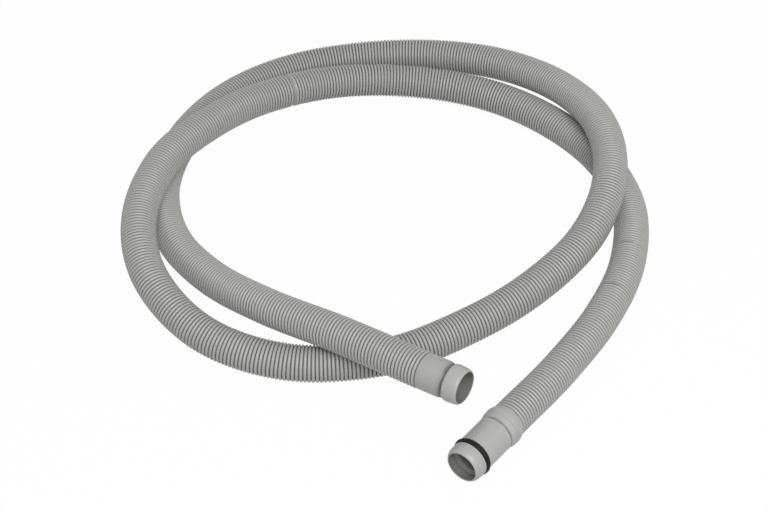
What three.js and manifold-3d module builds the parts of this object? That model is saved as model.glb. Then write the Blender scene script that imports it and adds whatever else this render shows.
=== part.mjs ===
// Dishwasher drain hose: a blow-moulded corrugated tube lying in two loose turns on a flat surface.
// Millimetres, +Z up. The origin is on the surface, under the middle of the hose's box.
// Both ends are moulded in one piece with the tube, and a rubber O-ring sits on one of them.

import * as THREE from 'three';
import { mergeVertices } from 'three/addons/utils/BufferGeometryUtils.js';
import Module from 'manifold-3d';

// Corrugated tube
const HOSE_DIAMETER = 24;
const CORRUGATION_DEPTH = 1.3;
const WALL_THICKNESS = 1;
const TUBE_SIDES = 12;
const TUBE_STEPS = 80;

// Sink end: a plain cylinder, a groove for the hose clip, and a barrel ring with an open lip
const CUFF_DIAMETER = 23.4;
const CUFF_LENGTH = 13;
const SHOULDER_LENGTH = 4.5;
const CLIP_GROOVE_DEPTH = 1.3;
const BARREL_DIAMETER = 23.8;
const BARREL_RISE = 2.6;
const BARREL_LENGTH = 9;
const SINK_MOUTH_DIAMETER = 22;

// Machine end: a flared collar, a smooth spigot with an O-ring seat, and a tapered nose
const COLLAR_DIAMETER = 26.4;
const FLARE_LENGTH = 4.8;
const COLLAR_LENGTH = 2.8;
const COLLAR_SLOPE_LENGTH = 5.2;
const FOOT_GROOVE_DEPTH = 0.6;
const FOOT_GROOVE_WIDTH = 1.6;
const SPIGOT_DIAMETER = 24.2;
const SPIGOT_LENGTH = 20.9;
const NOSE_LENGTH = 3.7;
const NOSE_TAPER_LENGTH = 5;
const NOSE_MOUTH_DIAMETER = 21.2;

// O-ring, seated in the spigot and standing proud of it
const O_RING_CORD_DIAMETER = 3.3;
const O_RING_PROUD = 0.9;
const SEAT_CLEARANCE = 0.3;

// Free height between two strands where one passes over the other
const CROSSING_CLEARANCE = 1;

// How far the moulded ends reach into the tube where the two are joined
const JOINT_OVERLAP = 0.5;
const END_SEGMENTS = 24;
const CURVE_POINTS = 4;

const HOSE_RADIUS = HOSE_DIAMETER / 2;
const BORE_RADIUS = HOSE_RADIUS - CORRUGATION_DEPTH - WALL_THICKNESS;
const CROSSING_RISE = HOSE_DIAMETER + CROSSING_CLEARANCE;

// The route of the tube's centre line from the sink end to the machine end.
// Each row is x, y and how far the tube has risen, as a share of the rise over a crossing strand.
// The sink end is stiff, so it points a little further up where it juts out past the crossing.
const ROUTE = [
  [21, -153.5, 1.17], [-31, -118.5, 1], [-78, -85.5, 0.68], [-118, -46, 0.25],
  [-147, -2, 0.06], [-158.5, 52, 0], [-148, 107.5, 0], [-119, 155, 0.02],
  [-74, 186.5, 0.08], [-19.5, 200, 0.17], [37, 198, 0.3], [88.5, 178.5, 0.5],
  [129, 139.5, 0.78], [151, 89, 1], [152, 34.5, 0.88], [132, -15.5, 0.53],
  [94, -57.5, 0.25], [49, -89, 0.06], [-3, -114, 0], [-63, -119, 0.02],
  [-117.5, -99, 0.2], [-154.5, -58, 0.57], [-167, -7.5, 0.88], [-156.5, 49, 1],
  [-128, 95, 0.9], [-90, 133.5, 0.68], [-39, 160, 0.44], [17.5, 167.5, 0.23],
  [72, 157, 0.08], [117, 128, 0.01], [151, 84, 0], [166.5, 30.5, 0],
  [160, -26, 0], [138.5, -77, 0], [107, -125, 0], [72.5, -169, 0],
];

const hoseMaterial = new THREE.MeshStandardMaterial({
  name: 'polypropylene', color: 0xa3a49f, roughness: 0.55, metalness: 0,
});
const rubberMaterial = new THREE.MeshStandardMaterial({
  name: 'nitrile_rubber', color: 0x2a2923, roughness: 0.6, metalness: 0,
});

// A smooth curve through the route's points that the surface keeps from dipping between them.
class SurfaceCurve extends THREE.CatmullRomCurve3 {
  getPoint(t, target) {
    const point = super.getPoint(t, target);
    point.z = Math.max(point.z, HOSE_RADIUS);
    return point;
  }
}

// The tube lies on the surface away from the crossings, and the collar lifts its far end a little.
function hoseRoute() {
  const points = ROUTE.map(([x, y, share]) => new THREE.Vector3(x, y, HOSE_RADIUS + share * CROSSING_RISE));
  points.at(-1).z = COLLAR_DIAMETER / 2;
  return new SurfaceCurve(points, false, 'catmullrom', 0.5);
}

// The tube's section is a ring of flat sides, swept along the route.
function corrugatedTube(route) {
  const ring = polygon(HOSE_RADIUS, TUBE_SIDES);
  ring.holes.push(polygon(BORE_RADIUS, TUBE_SIDES));
  return new THREE.ExtrudeGeometry(ring, { steps: TUBE_STEPS, extrudePath: route });
}

function polygon(radius, sides) {
  const corners = Array.from({ length: sides }, (_, i) => {
    const angle = (2 * Math.PI * i) / sides;
    return new THREE.Vector2(radius * Math.cos(angle), radius * Math.sin(angle));
  });
  return new THREE.Shape(corners);
}

// Half section of the sink end: x is the radius and y runs outwards from the last corrugation.
function sinkEndProfile() {
  const cuff = CUFF_DIAMETER / 2;
  const groove = cuff - CLIP_GROOVE_DEPTH;
  const barrel = BARREL_DIAMETER / 2;
  const mouth = SINK_MOUTH_DIAMETER / 2;
  const grooveAt = CUFF_LENGTH + SHOULDER_LENGTH;
  const barrelAt = grooveAt + BARREL_RISE;
  const mouthAt = barrelAt + BARREL_LENGTH;

  const outside = new THREE.Path();
  outside.moveTo(cuff, -JOINT_OVERLAP);
  outside.lineTo(cuff, CUFF_LENGTH);
  outside.quadraticCurveTo(cuff, CUFF_LENGTH + SHOULDER_LENGTH / 2, groove, grooveAt);
  outside.quadraticCurveTo(barrel, grooveAt + BARREL_RISE / 3, barrel, barrelAt);
  outside.quadraticCurveTo(barrel, barrelAt + BARREL_LENGTH / 2, mouth, mouthAt);
  const outer = outside.getPoints(CURVE_POINTS);

  const flare = cuff - WALL_THICKNESS - BORE_RADIUS;
  const inner = outer.map((point) => new THREE.Vector2(point.x - WALL_THICKNESS, point.y));
  inner[0].x = BORE_RADIUS;
  inner.splice(1, 0, new THREE.Vector2(BORE_RADIUS, WALL_THICKNESS));
  inner.splice(2, 0, new THREE.Vector2(cuff - WALL_THICKNESS, WALL_THICKNESS + 2 * flare));
  return closedProfile(outer, inner);
}

// Half section of the machine end, laid out in the same way.
function machineEndProfile() {
  const collar = COLLAR_DIAMETER / 2;
  const spigot = SPIGOT_DIAMETER / 2;
  const foot = spigot - FOOT_GROOVE_DEPTH;
  const mouth = NOSE_MOUTH_DIAMETER / 2;
  const { seatRadius, seatFrom, seatTo } = oRingSeat();
  const slopeAt = FLARE_LENGTH + COLLAR_LENGTH;
  const footAt = slopeAt + COLLAR_SLOPE_LENGTH;
  const taperAt = seatTo + NOSE_LENGTH;

  const beforeSeat = new THREE.Path();
  beforeSeat.moveTo(HOSE_RADIUS, -JOINT_OVERLAP);
  beforeSeat.lineTo(HOSE_RADIUS, JOINT_OVERLAP);
  beforeSeat.quadraticCurveTo(collar, FLARE_LENGTH / 2, collar, FLARE_LENGTH);
  beforeSeat.lineTo(collar, slopeAt);
  beforeSeat.quadraticCurveTo(spigot, slopeAt + COLLAR_SLOPE_LENGTH / 2, spigot, footAt);
  beforeSeat.lineTo(foot, footAt + FOOT_GROOVE_WIDTH / 2);
  beforeSeat.lineTo(spigot, footAt + FOOT_GROOVE_WIDTH);
  beforeSeat.lineTo(spigot, seatFrom);

  const afterSeat = new THREE.Path();
  afterSeat.moveTo(spigot, seatTo);
  afterSeat.lineTo(spigot, taperAt);
  afterSeat.quadraticCurveTo(spigot, taperAt + NOSE_TAPER_LENGTH / 2, mouth, taperAt + NOSE_TAPER_LENGTH);

  const seat = [new THREE.Vector2(seatRadius, seatFrom), new THREE.Vector2(seatRadius, seatTo)];
  const outer = [...beforeSeat.getPoints(CURVE_POINTS), ...seat, ...afterSeat.getPoints(CURVE_POINTS)];

  // Inside, the wall bulges in as a ridge under the seat.
  const wallIn = (point) => new THREE.Vector2(point.x - WALL_THICKNESS, point.y);
  const before = beforeSeat.getPoints(CURVE_POINTS).map(wallIn);
  const after = afterSeat.getPoints(CURVE_POINTS).map(wallIn);
  before[0].x = BORE_RADIUS;
  before[1].x = BORE_RADIUS;
  before.at(-1).y = seatFrom - 2 * WALL_THICKNESS;
  after[0].y = seatTo + 2 * WALL_THICKNESS;
  const ridge = [
    new THREE.Vector2(seatRadius - WALL_THICKNESS, seatFrom - WALL_THICKNESS / 2),
    new THREE.Vector2(seatRadius - WALL_THICKNESS, seatTo + WALL_THICKNESS / 2),
  ];
  return closedProfile(outer, [...before, ...ridge, ...after]);
}

// The O-ring's cord stands proud of the spigot, with the seat cut a clearance larger than the cord.
function oRingSeat() {
  const cordRadius = O_RING_CORD_DIAMETER / 2;
  const cordCentre = SPIGOT_DIAMETER / 2 + O_RING_PROUD - cordRadius;
  const spigotAt = FLARE_LENGTH + COLLAR_LENGTH + COLLAR_SLOPE_LENGTH + FOOT_GROOVE_WIDTH;
  const seatFrom = spigotAt + SPIGOT_LENGTH;
  const seatTo = seatFrom + O_RING_CORD_DIAMETER + 2 * SEAT_CLEARANCE;
  return {
    cordRadius,
    cordCentre,
    seatRadius: cordCentre - cordRadius - SEAT_CLEARANCE,
    seatFrom,
    seatTo,
    cordAt: (seatFrom + seatTo) / 2,
  };
}

// Up the outside and back down the inside, closed on its first point.
function closedProfile(outer, inner) {
  return [...outer, ...inner.reverse(), outer[0].clone()];
}

// The placement that turns a shape made along +Y to stand on one end of the route, pointing out.
function endPlacement(route, atStart) {
  const outwards = route.getTangent(atStart ? 0 : 1);
  if (atStart) outwards.negate();
  const turn = new THREE.Quaternion().setFromUnitVectors(new THREE.Vector3(0, 1, 0), outwards);
  return new THREE.Matrix4().compose(route.getPoint(atStart ? 0 : 1), turn, new THREE.Vector3(1, 1, 1));
}

const wasm = await Module();
wasm.setup();

function toSolid(geometry) {
  const bare = geometry.clone();
  bare.deleteAttribute('normal');
  bare.deleteAttribute('uv');
  const merged = mergeVertices(bare, 1e-4);
  return new wasm.Manifold(new wasm.Mesh({
    numProp: 3,
    vertProperties: new Float32Array(merged.attributes.position.array),
    triVerts: new Uint32Array(merged.index.array),
  }));
}

function toGeometry(solid) {
  const mesh = solid.getMesh();
  const geometry = new THREE.BufferGeometry();
  geometry.setAttribute('position', new THREE.BufferAttribute(mesh.vertProperties, 3));
  geometry.setIndex(new THREE.BufferAttribute(mesh.triVerts, 1));
  geometry.computeVertexNormals();
  return geometry;
}

function drainHose(route) {
  const sinkEnd = new THREE.LatheGeometry(sinkEndProfile(), END_SEGMENTS);
  const machineEnd = new THREE.LatheGeometry(machineEndProfile(), END_SEGMENTS);
  sinkEnd.applyMatrix4(endPlacement(route, true));
  machineEnd.applyMatrix4(endPlacement(route, false));
  const solid = toSolid(corrugatedTube(route)).add(toSolid(sinkEnd)).add(toSolid(machineEnd));
  const mesh = new THREE.Mesh(toGeometry(solid), hoseMaterial);
  mesh.name = 'drain_hose';
  return mesh;
}

function oRing(route) {
  const { cordRadius, cordCentre, cordAt } = oRingSeat();
  const ring = new THREE.TorusGeometry(cordCentre, cordRadius, 12, END_SEGMENTS);
  ring.rotateX(Math.PI / 2);
  ring.translate(0, cordAt, 0);
  const mesh = new THREE.Mesh(ring, rubberMaterial);
  mesh.applyMatrix4(endPlacement(route, false));
  mesh.name = 'o_ring';
  return mesh;
}

const route = hoseRoute();
const hose = new THREE.Group();
hose.add(drainHose(route));
hose.add(oRing(route));

export default hose;
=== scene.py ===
# %% [markdown]
# A dishwasher drain hose, built as one profile carried along one path.
#
# The real hose is about two metres of grey polypropylene tube. It is blow moulded: a soft tube of
# plastic is blown outwards into a travelling mould, which presses hundreds of rings into it so that
# the wall can bend. Each end is moulded plain, one to slip over the spigot of a sink trap and one to
# plug into the dishwasher, with a rubber O-ring on it.
#
# The CAD model is loaded first, because it fixes where everything lies. It stays in metres, with Z up
# and the hose lying on the plane where Z is zero.

import bpy
import numpy as np
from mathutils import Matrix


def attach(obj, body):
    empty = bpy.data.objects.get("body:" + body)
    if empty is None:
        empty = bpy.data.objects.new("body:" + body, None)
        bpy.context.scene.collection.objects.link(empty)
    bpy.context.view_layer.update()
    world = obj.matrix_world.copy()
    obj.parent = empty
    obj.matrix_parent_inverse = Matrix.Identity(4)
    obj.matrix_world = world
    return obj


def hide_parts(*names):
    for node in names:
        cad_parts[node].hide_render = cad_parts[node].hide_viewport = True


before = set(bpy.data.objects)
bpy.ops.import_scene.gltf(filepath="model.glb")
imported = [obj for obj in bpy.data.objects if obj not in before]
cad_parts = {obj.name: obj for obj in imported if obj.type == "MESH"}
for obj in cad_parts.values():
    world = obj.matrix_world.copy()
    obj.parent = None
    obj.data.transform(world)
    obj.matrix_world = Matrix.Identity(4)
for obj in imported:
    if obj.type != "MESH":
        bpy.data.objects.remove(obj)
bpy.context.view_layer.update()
MM = 0.001

# %% [markdown]
# The camera comes before any modelling, so that each later step can be judged in the right view.
#
# A picture's perspective is set by two numbers, the distance and the focal length. A lens is easiest
# to find in pixels: it is the number of pixels that one metre covers at one metre from the camera.
# Blender wants millimetres on a 36 mm wide sensor instead, which is the same ratio in other units.

# %% Place the camera
IMAGE_WIDTH_PIXELS = 768
FOCAL_LENGTH_PIXELS = 1732
SENSOR_WIDTH_MM = 36
CAMERA_ELEVATION = np.radians(42.6)
CAMERA_DISTANCE = 1.183
CAMERA_TARGET = np.array([-3.1 * MM, -6.5 * MM, 0])


def place_camera():
    """The camera stands in front of the hose, at its elevation, and looks at a point on the floor."""
    camera_data = bpy.data.cameras.new("camera")
    camera_data.sensor_width = SENSOR_WIDTH_MM
    camera_data.lens = FOCAL_LENGTH_PIXELS * SENSOR_WIDTH_MM / IMAGE_WIDTH_PIXELS
    camera = bpy.data.objects.new("camera", camera_data)
    back = np.array([0, -np.cos(CAMERA_ELEVATION), np.sin(CAMERA_ELEVATION)])
    camera.location = CAMERA_TARGET + CAMERA_DISTANCE * back
    camera.rotation_euler = (np.pi / 2 - CAMERA_ELEVATION, 0, 0)
    bpy.context.collection.objects.link(camera)
    bpy.context.scene.camera = camera
    return camera


camera = place_camera()
print("lens in mm:", round(camera.data.lens, 2))

# %% [markdown]
# A hose that lies loose has no simple formula, so its route is a short list of points, the same ones
# that the CAD model uses. The first two numbers are metres on the floor. The third is
# how far the hose has climbed to cross over itself: 0 lies on the floor and 1 lies on another strand.
#
# A Catmull-Rom curve runs through every point of such a list, and bends gently in between. Two
# pieces of straight line are added, because the moulded ends are stiff and don't bend.

# %% The route of the hose
HOSE_RADIUS = 12 * MM
COLLAR_RADIUS = 13.2 * MM
CROSSING_RISE = 25 * MM
ROUTE = np.array([
    [0.0210, -0.1535, 1.17], [-0.0310, -0.1185, 1], [-0.0780, -0.0855, 0.68], [-0.1180, -0.0460, 0.25],
    [-0.1470, -0.0020, 0.06], [-0.1585, 0.0520, 0], [-0.1480, 0.1075, 0], [-0.1190, 0.1550, 0.02],
    [-0.0740, 0.1865, 0.08], [-0.0195, 0.2000, 0.17], [0.0370, 0.1980, 0.3], [0.0885, 0.1785, 0.5],
    [0.1290, 0.1395, 0.78], [0.1510, 0.0890, 1], [0.1520, 0.0345, 0.88], [0.1320, -0.0155, 0.53],
    [0.0940, -0.0575, 0.25], [0.0490, -0.0890, 0.06], [-0.0030, -0.1140, 0], [-0.0630, -0.1190, 0.02],
    [-0.1175, -0.0990, 0.2], [-0.1545, -0.0580, 0.57], [-0.1670, -0.0075, 0.88], [-0.1565, 0.0490, 1],
    [-0.1280, 0.0950, 0.9], [-0.0900, 0.1335, 0.68], [-0.0390, 0.1600, 0.44], [0.0175, 0.1675, 0.23],
    [0.0720, 0.1570, 0.08], [0.1170, 0.1280, 0.01], [0.1510, 0.0840, 0], [0.1665, 0.0305, 0],
    [0.1600, -0.0260, 0], [0.1385, -0.0770, 0], [0.1070, -0.1250, 0], [0.0725, -0.1690, 0],
])
STEPS_BETWEEN_POINTS = 200


def route_points():
    """Each height is the hose's radius plus its share of the rise. The collar lifts the last point."""
    heights = HOSE_RADIUS + ROUTE[:, 2] * CROSSING_RISE
    heights[-1] = COLLAR_RADIUS
    return np.column_stack([ROUTE[:, :2], heights])


def smooth_curve(points):
    """A Catmull-Rom curve. Between b and c, with neighbours a and d, a point at the share t is half of
    2b + (c - a)t + (2a - 5b + 4c - d)t^2 + (3b - a - 3c + d)t^3. The curve is kept at least the hose's
    radius above the floor."""
    padded = np.vstack([2 * points[0] - points[1], points, 2 * points[-1] - points[-2]])
    a, b, c, d = (padded[i:len(points) - 1 + i, None, :] for i in range(4))
    t = np.linspace(0, 1, STEPS_BETWEEN_POINTS, endpoint=False)[None, :, None]
    square_term = (2 * a - 5 * b + 4 * c - d) * t**2
    cube_term = (3 * b - a - 3 * c + d) * t**3
    curve = (2 * b + (c - a) * t + square_term + cube_term) / 2
    curve = np.vstack([curve.reshape(-1, 3), points[-1:]])
    curve[:, 2] = np.maximum(curve[:, 2], HOSE_RADIUS)
    return curve


def distances_along(points):
    """The running sum of the lengths of the steps between points."""
    steps = np.linalg.norm(np.diff(points, axis=0), axis=1)
    return np.concatenate([[0], np.cumsum(steps)])


flexible_line = smooth_curve(route_points())
FLEXIBLE_LENGTH = distances_along(flexible_line)[-1]
print("flexible length in mm:", round(FLEXIBLE_LENGTH / MM, 1))

# %% [markdown]
# Any shape that is swept needs, at each place along the path, three directions at right angles: one
# along the path, one to the side and one up. A path that never stands on end has an easy choice. The
# side is level, square to the path and to Z, and up is square to both. Such sections don't twist.
#
# The path is asked for by its distance from the first ring. Beyond either end it goes straight on.

# %% Places and directions along the hose
def unit(vectors):
    """Vectors of length one, in the same directions."""
    return vectors / np.linalg.norm(vectors, axis=-1, keepdims=True)


TABLE_DISTANCES = distances_along(flexible_line)
TABLE_TANGENTS = unit(np.gradient(flexible_line, TABLE_DISTANCES, axis=0))


def read_table(table, distances):
    """Rows of a table that has one for each step of the path, read at these distances and between."""
    return np.column_stack([np.interp(distances, TABLE_DISTANCES, column) for column in table.T])


def direction_along(distances):
    """The path's unit directions at these distances."""
    return unit(read_table(TABLE_TANGENTS, distances))


def place_along(distances):
    """Points on the path at these distances. Past an end its direction times the overshoot is added."""
    inside = np.clip(distances, 0, FLEXIBLE_LENGTH)
    overshoot = (distances - inside)[:, None] * direction_along(distances)
    return read_table(flexible_line, inside) + overshoot


def section_axes(distances):
    """The side is the direction crossed with Z, and up is the side crossed with the direction."""
    forward = direction_along(distances)
    side = unit(np.cross(forward, [0, 0, 1]))
    return side, np.cross(side, forward)


bend_radii = 1 / np.linalg.norm(np.gradient(TABLE_TANGENTS, TABLE_DISTANCES, axis=0), axis=1)
print("tightest bend in mm:", round(bend_radii.min() / MM, 1))

# %% [markdown]
# A profile is the line that a knife would leave in the wall if it cut the hose lengthwise: each of its
# points is a distance along the hose and a radius. The whole hose is one such line. It starts at the
# lip at the sink end, runs over every ring to the lip at the machine end and comes back inside.
#
# The sink end comes first. A trap's spigot slides into it, and a wire clip sits in its groove. Round
# shoulders are quadratic curves, which need only a start, a corner to lean towards and an end. Both
# ends are given in millimetres, and their distances grow away from the rings.

# %% Lines and curves for the profile
def straight(*points):
    """Corner points in mm, each one a distance and a radius."""
    return np.array(points) * MM


def rounded(start, corner, end, steps=8):
    """A quadratic curve: (1 - t)^2 of the start, 2t(1 - t) of the corner and t^2 of the end, in mm."""
    t = np.linspace(0, 1, steps + 1)[:, None]
    return ((1 - t) ** 2 * start + 2 * t * (1 - t) * corner + t**2 * end) * MM


def rounded_through(*points, steps=8):
    """Curves in a chain, from an odd number of points, of which every second one is a corner that is
    only leaned towards."""
    points = np.array(points)
    return np.vstack([rounded(*points[i:i + 3], steps) for i in range(0, len(points) - 2, 2)])


sink_end_outside = np.vstack([
    straight([0, 10.8]),
    rounded_through([0.3, 11.2], [0.5, 11.7], [1.2, 11.7], steps=3),
    straight([7, 11.7]),
    rounded_through([13, 11.7], [15.7, 11.65], [16.9, 11.1], [17.5, 10.7], [18.1, 10.6],
                    [18.6, 10.7], [19, 11.2], [19.4, 11.8], [20.6, 11.9], [24.8, 12.0], [28.1, 11.25]),
    straight([28.3, 11.1], [28.7, 10.75]),
    rounded_through([28.9, 10.6], [29.1, 10.5], [29.1, 10.4], steps=3),
])
sink_end_inside = np.vstack([
    rounded_through([29.1, 10.2], [29.1, 9.95], [28.8, 9.9], steps=3),
    rounded_through([28.7, 9.9], [24.8, 10.9], [20.1, 10.85], [18.9, 10.7], [18.3, 9.8],
                    [17.9, 9.35], [17.3, 9.5], [15.4, 10.6], [13, 10.7], steps=5),
    straight([3, 10.7], [1.2, 9.7]),
])
print("sink end:", len(sink_end_outside), "points outside,", len(sink_end_inside), "inside")

# %% [markdown]
# The machine end plugs into the pump's outlet. From the rings it flares into a raised collar, which
# stops the hose going in too far, and steps down through a fine groove to the smooth spigot. The
# O-ring sits in its own groove there, and the nose tapers so that it starts easily.

# %% The machine end's profile
SEAT_FROM = 35.3
SEAT_TO = 39.4
SPIGOT_RADIUS = 12.1

machine_end_outside = np.vstack([
    straight([0, 10.8]),
    rounded_through([0.3, 11.4], [0.5, 11.95], [1.3, 12.2], [2.5, 12.5], [3.4, 12.85], [4.3, 13.15],
                    [5.5, 13.2], [6.4, 13.2], [7.2, 13.15]),
    straight([8.1, 12.75], [8.3, 12.75], [8.5, 13.0]),
    rounded_through([9.5, 12.95], [10.8, 12.6], [11.8, 12.35], [12.3, 12.2], [12.5, 11.4]),
    rounded_through([13.7, 10.9], [14.0, 11.2], [14.2, 12.1], [25, 12.1], [34.8, 12.1]),
    rounded_through([35.1, 12.1], [35.3, 12.1], [35.3, 11.9], steps=3),
    straight([35.4, 9.5], [35.6, 9.4], [39.1, 9.4], [39.3, 9.5]),
    rounded_through([39.4, 11.9], [39.4, 12.1], [39.6, 12.1], steps=3),
    rounded_through([40.0, 12.1], [41.5, 12.1], [42.9, 12.1], [46.1, 12.1], [47.4, 10.85]),
    rounded_through([47.5, 10.75], [47.9, 10.6], [47.9, 10.25], steps=3),
])
machine_end_inside = np.vstack([
    rounded_through([47.9, 9.95], [47.9, 9.7], [47.6, 9.65], steps=3),
    rounded_through([47.4, 9.65], [46.2, 10.6], [44.4, 10.7], [42.2, 10.7], [41, 10.7],
                    [40.1, 8.8], [39.5, 8.6], steps=5),
    straight([35, 8.6]),
    rounded_through([34.2, 8.6], [33.8, 8.7], [33.5, 9.9], [33.1, 11.1], [31.8, 11.1], steps=5),
    straight([15.8, 11.1], [14.6, 9.7], [12.2, 9.7]),
    rounded_through([11.1, 11.2], [9, 11.7], [6.6, 12.1], [3.4, 12], [1.2, 9.7], steps=5),
])
print("machine end:", len(machine_end_outside), "points outside,", len(machine_end_inside), "inside")

# %% [markdown]
# The rings are side by side, not a screw thread, so each is one crest and one valley across the path.
# They could be a bump in the material, but then the edge of the hose would be smooth, and a bent hose
# shows its rings there. As geometry they cost five points each: one down in the narrow valley, and
# four up and over the crest, which is nearly half round. Smooth shading does the rest.
#
# The mould is made of blocks, and it leaves its marks. Where two blocks meet badly a valley is wider,
# and where one length of tube ends and the next begins there is a short band with no rings. Both
# marks are placed in metres from the first ring.

# %% The rings' profile
RING_PITCH = 2.42 * MM
VALLEY_RADIUS = 10.7 * MM
RING_SHARES = np.array([0.0, 0.15, 0.34, 0.66, 0.85])
RING_HEIGHTS = np.array([0.0, 0.6, 1.0, 1.0, 0.6])
PLAIN_BAND_AT = 1.431
PLAIN_BAND_RADIUS = 11.4 * MM
WIDE_VALLEYS_AT = [1.798, 1.8415]

ring_count = round(FLEXIBLE_LENGTH / RING_PITCH)
pitch = FLEXIBLE_LENGTH / ring_count


def ring_profile():
    """One row for each ring and one column for each of its points: distances, and radii that rise from
    the valley to the crest by the ring's heights."""
    distances = (np.arange(ring_count)[:, None] + RING_SHARES) * pitch
    radii = VALLEY_RADIUS + RING_HEIGHTS * (HOSE_RADIUS - VALLEY_RADIUS)
    radii = np.repeat(radii[None, :], ring_count, axis=0)
    band = round(PLAIN_BAND_AT / pitch)
    radii[band, 1:] = PLAIN_BAND_RADIUS
    radii[band + 1, :2] = PLAIN_BAND_RADIUS
    for place in WIDE_VALLEYS_AT:
        wide = round(place / pitch)
        radii[wide - 1, -1] = VALLEY_RADIUS
        radii[wide, :2] = VALLEY_RADIUS
    return np.column_stack([distances.ravel(), radii.ravel()])


rings_outside = ring_profile()
print(ring_count, "rings,", round(pitch / MM, 3), "mm apart,", len(rings_outside), "profile points")

# %% [markdown]
# Carrying the profile along the path turns each of its points into a circle. The circles of the tube
# have fewer sides than those of the ends, which are seen closer to, so the surface is made of five
# bands of circles. Inside each band the faces are a plain grid. Where a circle of twenty sides meets
# one of forty, each long side is joined to two short ones by three triangles.
#
# The profile is a closed line and each circle is closed too, so the finished surface has no edge at
# all, and it holds the plastic between its outer and inner face like the real wall.

# %% Circles and the faces between them
TUBE_SIDES = 20
END_SIDES = 2 * TUBE_SIDES
BORE_RADIUS = 9.3 * MM
BORE_STEP = 8 * MM


def circles(profile, sides):
    """For each profile point, a circle of that radius: its centre on the path plus the radius times
    cos(angle) of the side direction and sin(angle) of the up direction."""
    distances, radii = profile.T
    side, up = section_axes(distances)
    angles = 2 * np.pi * np.arange(sides) / sides
    turned = np.cos(angles)[None, :, None] * side[:, None] + np.sin(angles)[None, :, None] * up[:, None]
    return place_along(distances)[:, None] + radii[:, None, None] * turned


def grid_faces(first, rows, sides):
    """Quads between neighbouring circles: a corner, the next circle's, and both again one side on."""
    row, column = np.meshgrid(np.arange(rows - 1), np.arange(sides), indexing="ij")
    near = first + row * sides
    far = near + sides
    after = (column + 1) % sides
    return np.stack([near + column, far + column, far + after, near + after], -1).reshape(-1, 4)


def joining_faces(first, first_sides, second, second_sides):
    """Triangles between two circles of which one has as many sides as the other or twice as many."""
    sides = min(first_sides, second_sides)
    start = np.arange(sides)
    end = (start + 1) % sides
    a, b = first + start * (first_sides // sides), first + end * (first_sides // sides)
    c, d = second + start * (second_sides // sides), second + end * (second_sides // sides)
    if first_sides < second_sides:
        corners = [a, c, c + 1], [a, c + 1, b], [b, c + 1, d]
    elif first_sides > second_sides:
        corners = [a, c, a + 1], [a + 1, c, d], [a + 1, d, b]
    else:
        corners = [a, c, d], [a, d, b]
    return np.vstack([np.stack(triangle, -1) for triangle in corners])


# %% The whole hose as one closed surface
def at_sink_end(profile):
    """Distances grow away from the rings, so at the start of the path they are taken backwards."""
    return np.column_stack([-profile[:, 0], profile[:, 1]])


def at_machine_end(profile):
    """Distances count on from the last ring."""
    return profile + [FLEXIBLE_LENGTH, 0]


def bore_profile():
    """The bore is plain: a circle every few millimetres, from the machine end back to the sink end."""
    steps = round(FLEXIBLE_LENGTH / BORE_STEP)
    distances = np.linspace(FLEXIBLE_LENGTH, 0, steps)
    return np.column_stack([distances, np.full(steps, BORE_RADIUS)])


bands = [
    (at_sink_end(sink_end_outside)[::-1], END_SIDES),
    (rings_outside, TUBE_SIDES),
    (at_machine_end(np.vstack([machine_end_outside, machine_end_inside])), END_SIDES),
    (bore_profile(), TUBE_SIDES),
    (at_sink_end(sink_end_inside)[::-1], END_SIDES),
]


def hose_surface():
    """The bands' circles one after another, joined each to the next and the last to the first."""
    points = [circles(profile, sides).reshape(-1, 3) for profile, sides in bands]
    firsts = np.concatenate([[0], np.cumsum([len(p) for p in points])])
    grids = [grid_faces(first, len(profile), sides) for first, (profile, sides) in zip(firsts, bands)]
    joins = []
    for i, (profile, sides) in enumerate(bands):
        after = (i + 1) % len(bands)
        last_circle = firsts[i] + (len(profile) - 1) * sides
        joins.append(joining_faces(last_circle, sides, firsts[after], bands[after][1]))
    return np.vstack(points), np.vstack(grids), np.vstack(joins)


hose_points, hose_quads, hose_triangles = hose_surface()
print("triangles:", 2 * len(hose_quads) + len(hose_triangles))

# %% [markdown]
# A hose that has been handled keeps dust down in its valleys and grooves, and is freest of it where
# it stands out. The dark line between two rings is partly that dust and partly painted shade, added
# to the real shadow. So each point of the surface gets a number from 0, dusty and shaded, to 1, free
# of both, which the plastic reads later on. The last stretch of each end is wiped whenever the hose
# is fitted, and the inside is darkened with painted shade all along.

# %% How free of dust and painted shade each point is
OUTSIDE_CIRCLES = [len(sink_end_outside), len(rings_outside), len(machine_end_outside), 0, 0]
WIPED_FROM = 21 * MM
# Every point inside the hose gets this low value, which paints shade over the whole inner wall.
INSIDE_PAINTED_SHADE_LEVEL = 0.3


def clear_of_dust_and_shade():
    """Outside, a point's radius as a share of the way from a valley up to a crest, or 1 on the wiped
    ends. Low values are dust and painted shade. Inside, the same painted shade everywhere."""
    values = []
    for (profile, sides), outside in zip(bands, OUTSIDE_CIRCLES):
        distances, radii = profile.T
        past_the_rings = np.maximum(-distances, distances - FLEXIBLE_LENGTH)
        share = np.clip((radii - VALLEY_RADIUS) / (HOSE_RADIUS - VALLEY_RADIUS), 0, 1)
        share[past_the_rings > WIPED_FROM] = 1
        share[outside:] = INSIDE_PAINTED_SHADE_LEVEL
        values.append(np.repeat(share, sides))
    return np.concatenate(values)


dust_and_shade_values = clear_of_dust_and_shade()
print("dust_and_shade_clearness:", dust_and_shade_values.min(), "to", dust_and_shade_values.max(), "for", len(dust_and_shade_values), "points")

# %% [markdown]
# The arrays become a mesh. Every face is shaded smooth, so that five points round a whole ring, but an
# edge that turns sharply, such as the bottom of each valley, stays crisp. The object itself stays at
# the origin, and its place is in its points, as the CAD nodes' is.

# %% Turn the surface into an object
SHARP_ANGLE = np.radians(70)


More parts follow.
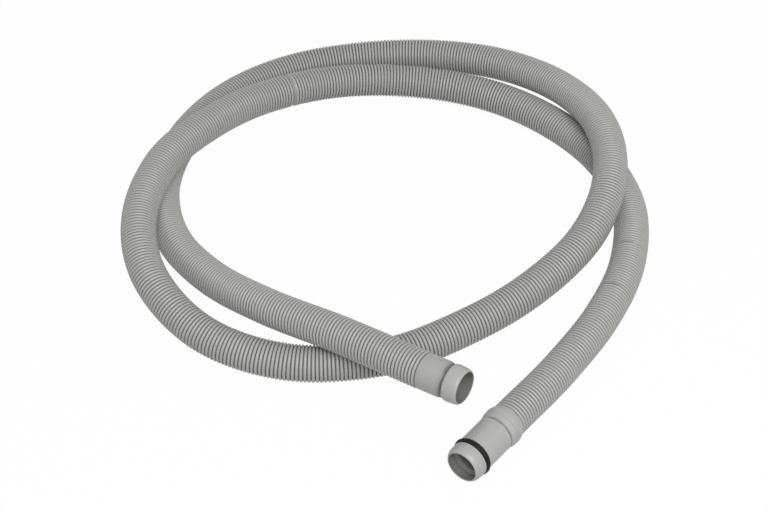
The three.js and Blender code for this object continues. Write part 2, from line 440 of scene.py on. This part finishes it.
def make_mesh(name, points, *face_arrays):
    """A mesh object from its points and faces, shaded smooth across all but its sharp edges."""
    mesh = bpy.data.meshes.new(name)
    faces = [face for array in face_arrays for face in array.tolist()]
    mesh.from_pydata(points.tolist(), [], faces)
    mesh.polygons.foreach_set("use_smooth", np.ones(len(faces), dtype=bool))
    mesh.set_sharp_from_angle(angle=SHARP_ANGLE)
    mesh.update()
    made = bpy.data.objects.new(name, mesh)
    bpy.context.collection.objects.link(made)
    return made


hose = make_mesh("corrugated_hose", hose_points, hose_quads, hose_triangles)
hose.data.attributes.new("clear_of_dust_and_shade", "FLOAT", "POINT").data.foreach_set("value", dust_and_shade_values)
hose_low, hose_high = hose_points.min(axis=0), hose_points.max(axis=0)
print("hose box in mm:", np.round(hose_low / MM, 1), np.round(hose_high / MM, 1))

# %% [markdown]
# The O-ring is the one loose part. It is almost a torus, and a torus is the same sweep again: the
# profile is a small closed curve off to one side of the path, which goes round with the section. It
# is stretched over its seat, which presses its round cord to an oval, a little wider than high. It
# stands almost a millimetre proud of the spigot to seal.

# %% The O-ring
O_RING_HALF_WIDTH = 1.95 * MM
O_RING_HALF_HEIGHT = 1.75 * MM
O_RING_PROUD = 0.9 * MM
O_RING_SIDES = 96
O_RING_CORD_SIDES = 24


def o_ring_surface():
    """Each point of the oval is its centre plus half its width times cos(angle) along the hose, and
    half its height times sin(angle) outwards."""
    centre_radius = SPIGOT_RADIUS * MM + O_RING_PROUD - O_RING_HALF_HEIGHT
    centre_distance = (SEAT_FROM + SEAT_TO) / 2 * MM
    angles = -2 * np.pi * np.arange(O_RING_CORD_SIDES) / O_RING_CORD_SIDES
    profile = np.column_stack([
        centre_distance + O_RING_HALF_WIDTH * np.cos(angles),
        centre_radius + O_RING_HALF_HEIGHT * np.sin(angles),
    ])
    points = circles(at_machine_end(profile), O_RING_SIDES).reshape(-1, 3)
    last_circle = (O_RING_CORD_SIDES - 1) * O_RING_SIDES
    closing = joining_faces(last_circle, O_RING_SIDES, 0, O_RING_SIDES)
    return points, grid_faces(0, O_RING_CORD_SIDES, O_RING_SIDES), closing


o_ring = make_mesh("rubber_o_ring", *o_ring_surface())
print("O-ring faces:", len(o_ring.data.polygons))

# %% [markdown]
# Colours are written as the hex values that a picture shows, and Blender counts in linear light, so
# one function converts them. Another adds a shader node with its settings and its links, which keeps
# each material short enough to read at a glance. It names a node's inputs, or counts them where two
# share a name: in a Mix node that mixes colours these are inputs 6 and 7, and output 2.

# %% Helpers for materials
def colour(hex_value):
    """sRGB to linear: below 0.04045 divide by 12.92, and above it raise (c + 0.055) / 1.055 to 2.4."""
    channels = np.array([int(hex_value[i:i + 2], 16) for i in (1, 3, 5)]) / 255
    linear = np.where(channels <= 0.04045, channels / 12.92, ((channels + 0.055) / 1.055) ** 2.4)
    return (*linear, 1.0)


def add_node(tree, kind, settings=None, **links):
    """Adds a node of this kind, sets its properties, then fills its inputs, each by its name, with _
    for a space, or by _ and its number."""
    node = tree.nodes.new(kind)
    for name, value in (settings or {}).items():
        setattr(node, name, value)
    for name, value in links.items():
        number = name[1:]
        socket = node.inputs[int(number) if number.isdigit() else name.replace("_", " ")]
        if isinstance(value, bpy.types.NodeSocket):
            tree.links.new(value, socket)
        else:
            socket.default_value = value
    return node


def new_material(name):
    """An empty material and its node tree."""
    material = bpy.data.materials.new(name)
    material.use_nodes = True
    material.node_tree.nodes.clear()
    return material, material.node_tree


# %% [markdown]
# Polypropylene (PP) is a soft, waxy plastic, and the mould's fine blasted texture leaves it satin: a
# broad dull highlight, no mirror. The grey pigment is never perfectly mixed, so the colour drifts a
# little over a few centimetres. Where the number from above is low, the grey is darkened, partly for
# dust and partly as painted shade in the valleys, grooves and bore. Its refractive index is 1.49.
#
# The blasted grain is about a quarter of a millimetre across, too fine to show from a metre away, so
# it is drawn at twice that size. Object coordinates are in metres, and a scale of 1 / size gives it.

# %% Blow moulded polypropylene
PP_GREY = "#b0b1ac"
PP_GREY_LIGHT = "#b6b7b2"
# The dark grey is partly dust and partly painted shade, for the valleys, grooves and bore.
PP_DUST_AND_PAINTED_SHADE = "#5e5f5a"
PP_FREE_OF_DUST_AND_SHADE_FROM = 0.85
PP_IOR = 1.49
PP_SMOOTHEST = 0.34
PP_ROUGHEST = 0.44
DRIFT_SIZE = 40 * MM
GRAIN_SIZE = 0.5 * MM
GRAIN_HEIGHT = 0.1 * MM
GRAIN_STRENGTH = 0.15


def blow_moulded_polypropylene():
    """Satin grey: a slow drift between two greys, darkened by dust and painted shade where the number
    on the points is low, and a fine grain in the bump and the roughness."""
    material, tree = new_material("blow_moulded_polypropylene")
    place = add_node(tree, "ShaderNodeTexCoord").outputs["Object"]
    drift = add_node(tree, "ShaderNodeTexNoise", Vector=place, Scale=1 / DRIFT_SIZE, Detail=2.0)
    grain = add_node(tree, "ShaderNodeTexNoise", Vector=place, Scale=1 / GRAIN_SIZE, Detail=3.0)
    tint = add_node(tree, "ShaderNodeMix", {"data_type": "RGBA"}, Factor=drift.outputs["Fac"],
                    _6=colour(PP_GREY), _7=colour(PP_GREY_LIGHT))
    # Low values of the number paint dust and shade into the grey.
    dust_and_shade_reading = add_node(tree, "ShaderNodeAttribute", {"attribute_name": "clear_of_dust_and_shade"}).outputs["Fac"]
    dust_and_shade_share = add_node(tree, "ShaderNodeMapRange", Value=dust_and_shade_reading, From_Max=PP_FREE_OF_DUST_AND_SHADE_FROM)
    dust_and_shade_tint = add_node(tree, "ShaderNodeMix", {"data_type": "RGBA"}, Factor=dust_and_shade_share.outputs["Result"],
                      _6=colour(PP_DUST_AND_PAINTED_SHADE), _7=tint.outputs[2])
    satin = add_node(tree, "ShaderNodeMapRange", Value=grain.outputs["Fac"],
                     To_Min=PP_SMOOTHEST, To_Max=PP_ROUGHEST)
    bump = add_node(tree, "ShaderNodeBump", Height=grain.outputs["Fac"],
                    Strength=GRAIN_STRENGTH, Distance=GRAIN_HEIGHT)
    plastic = add_node(tree, "ShaderNodeBsdfPrincipled", Base_Color=dust_and_shade_tint.outputs[2], IOR=PP_IOR,
                       Roughness=satin.outputs["Result"], Normal=bump.outputs["Normal"])
    add_node(tree, "ShaderNodeOutputMaterial", Surface=plastic.outputs["BSDF"])
    return material


hose.data.materials.append(blow_moulded_polypropylene())
print("hose material:", hose.data.materials[0].name)

# %% [markdown]
# The O-ring is nitrile rubber (NBR), pressed in a mould and black from its soot filler. It is dull,
# with a refractive index of 1.52, and a bloom of fine dust greys it unevenly. The bloom also scatters
# what the rubber would mirror of the white floor, so its specular level is turned down. Its pebbled
# skin is drawn a little coarser than life, to show at all.

# %% Moulded nitrile rubber
RUBBER_BLACK = "#11100c"
RUBBER_BLOOM = "#1c1b17"
RUBBER_IOR = 1.52
RUBBER_SPECULAR = 0.2
RUBBER_ROUGHNESS = 0.6
BLOOM_SIZE = 3 * MM
PEBBLE_SIZE = 0.4 * MM
PEBBLE_HEIGHT = 0.1 * MM
PEBBLE_STRENGTH = 0.2


def moulded_nitrile_rubber():
    """Dull black: patches of grey bloom over the black, and a fine pebble in the bump."""
    material, tree = new_material("moulded_nitrile_rubber")
    place = add_node(tree, "ShaderNodeTexCoord").outputs["Object"]
    bloom = add_node(tree, "ShaderNodeTexNoise", Vector=place, Scale=1 / BLOOM_SIZE, Detail=4.0)
    pebble = add_node(tree, "ShaderNodeTexNoise", Vector=place, Scale=1 / PEBBLE_SIZE, Detail=2.0)
    tint = add_node(tree, "ShaderNodeMix", {"data_type": "RGBA"}, Factor=bloom.outputs["Fac"],
                    _6=colour(RUBBER_BLACK), _7=colour(RUBBER_BLOOM))
    bump = add_node(tree, "ShaderNodeBump", Height=pebble.outputs["Fac"],
                    Strength=PEBBLE_STRENGTH, Distance=PEBBLE_HEIGHT)
    rubber = add_node(tree, "ShaderNodeBsdfPrincipled", Base_Color=tint.outputs[2], IOR=RUBBER_IOR,
                      Specular_IOR_Level=RUBBER_SPECULAR, Roughness=RUBBER_ROUGHNESS,
                      Normal=bump.outputs["Normal"])
    add_node(tree, "ShaderNodeOutputMaterial", Surface=rubber.outputs["BSDF"])
    return material


o_ring.data.materials.append(moulded_nitrile_rubber())
print("O-ring material:", o_ring.data.materials[0].name)

# %% [markdown]
# The studio is a pale floor, one big soft lamp over the camera's shoulder and a dim, even sky. The
# background has to look white without pouring more light on the hose. So only the rays that come
# straight from the camera, or by way of a reflection, see the floor as mostly glowing white. All
# other rays see plain grey paint, and the hose's shadow still falls on it.

# %% The floor
FLOOR_GREY = "#b0b0ae"
FLOOR_WHITE = "#fafafa"
GLOW_WHITE = "#ffffff"
FLOOR_SIZE = 4.0
FLOOR_GLOW = 0.97


def studio_floor():
    """One large square on the plane where Z is zero."""
    half = FLOOR_SIZE / 2
    corners = np.array([[-half, -half, 0], [half, -half, 0], [half, half, 0], [-half, half, 0]])
    return make_mesh("studio_floor", corners, np.array([[0, 1, 2, 3]]))


def white_for_camera(tree):
    """One where a ray comes from the camera, a glossy bounce or through glass, and zero elsewhere."""
    ray = add_node(tree, "ShaderNodeLightPath")
    shiny = add_node(tree, "ShaderNodeMath", {"operation": "MAXIMUM"},
                     _0=ray.outputs["Is Glossy Ray"], _1=ray.outputs["Is Transmission Ray"])
    seen = add_node(tree, "ShaderNodeMath", {"operation": "MAXIMUM"},
                    _0=ray.outputs["Is Camera Ray"], _1=shiny.outputs[0])
    return seen.outputs[0]


def floor_paint():
    """Matt grey paint, or for the rays that should see white, white paint mixed with a white glow."""
    material, tree = new_material("studio_floor_paint")
    seen = white_for_camera(tree)
    tint = add_node(tree, "ShaderNodeMix", {"data_type": "RGBA"}, Factor=seen,
                    _6=colour(FLOOR_GREY), _7=colour(FLOOR_WHITE))
    paint = add_node(tree, "ShaderNodeBsdfDiffuse", Color=tint.outputs[2])
    glow = add_node(tree, "ShaderNodeEmission", Color=colour(GLOW_WHITE), Strength=1.0)
    share = add_node(tree, "ShaderNodeMath", {"operation": "MULTIPLY"}, _0=seen, _1=FLOOR_GLOW)
    mix = add_node(tree, "ShaderNodeMixShader",
                   _0=share.outputs[0], _1=paint.outputs[0], _2=glow.outputs[0])
    add_node(tree, "ShaderNodeOutputMaterial", Surface=mix.outputs[0])
    return material


floor = studio_floor()
floor.data.materials.append(floor_paint())
print("floor:", FLOOR_SIZE, "m square")

# %% The sky and the lamp
SKY_STRENGTH = 0.36
LAMP_POWER = 25.5
LAMP_SIZE = 1.2
LAMP_PLACE = np.array([0.3, -1.2, 1.5])


def studio_sky():
    """White for the rays that should see white, and a dim even light for the rest."""
    world = bpy.data.worlds.new("studio_sky")
    world.use_nodes = True
    tree = world.node_tree
    tree.nodes.clear()
    strength = add_node(tree, "ShaderNodeMapRange", Value=white_for_camera(tree),
                        To_Min=SKY_STRENGTH, To_Max=1.0)
    sky = add_node(tree, "ShaderNodeBackground", Color=colour(GLOW_WHITE),
                   Strength=strength.outputs["Result"])
    add_node(tree, "ShaderNodeOutputWorld", Surface=sky.outputs[0])
    bpy.context.scene.world = world


def soft_lamp(name, place, size, power):
    """A square area lamp that faces the middle of the hose."""
    data = bpy.data.lights.new(name, "AREA")
    data.size = size
    data.energy = power
    lamp = bpy.data.objects.new(name, data)
    lamp.location = place
    forward = unit(-np.array(place))
    lamp.rotation_euler = (np.arccos(-forward[2]), 0, np.arctan2(-forward[0], forward[1]))
    bpy.context.collection.objects.link(lamp)
    return lamp


studio_sky()
key_lamp = soft_lamp("key_lamp", LAMP_PLACE, LAMP_SIZE, LAMP_POWER)
bpy.context.scene.view_settings.view_transform = "Standard"
print(key_lamp.name, key_lamp.data.energy, "W at", LAMP_PLACE)

# %% [markdown]
# The last step hangs both pieces on the root body and hides their CAD nodes, so that the pieces take
# their places.

PIECES = [
    (hose, "drain_hose", "grey_polypropylene"),
    (o_ring, "o_ring", "black_rubber"),
]
for piece, node, slot in PIECES:
    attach(piece, "root")
    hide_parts(node)
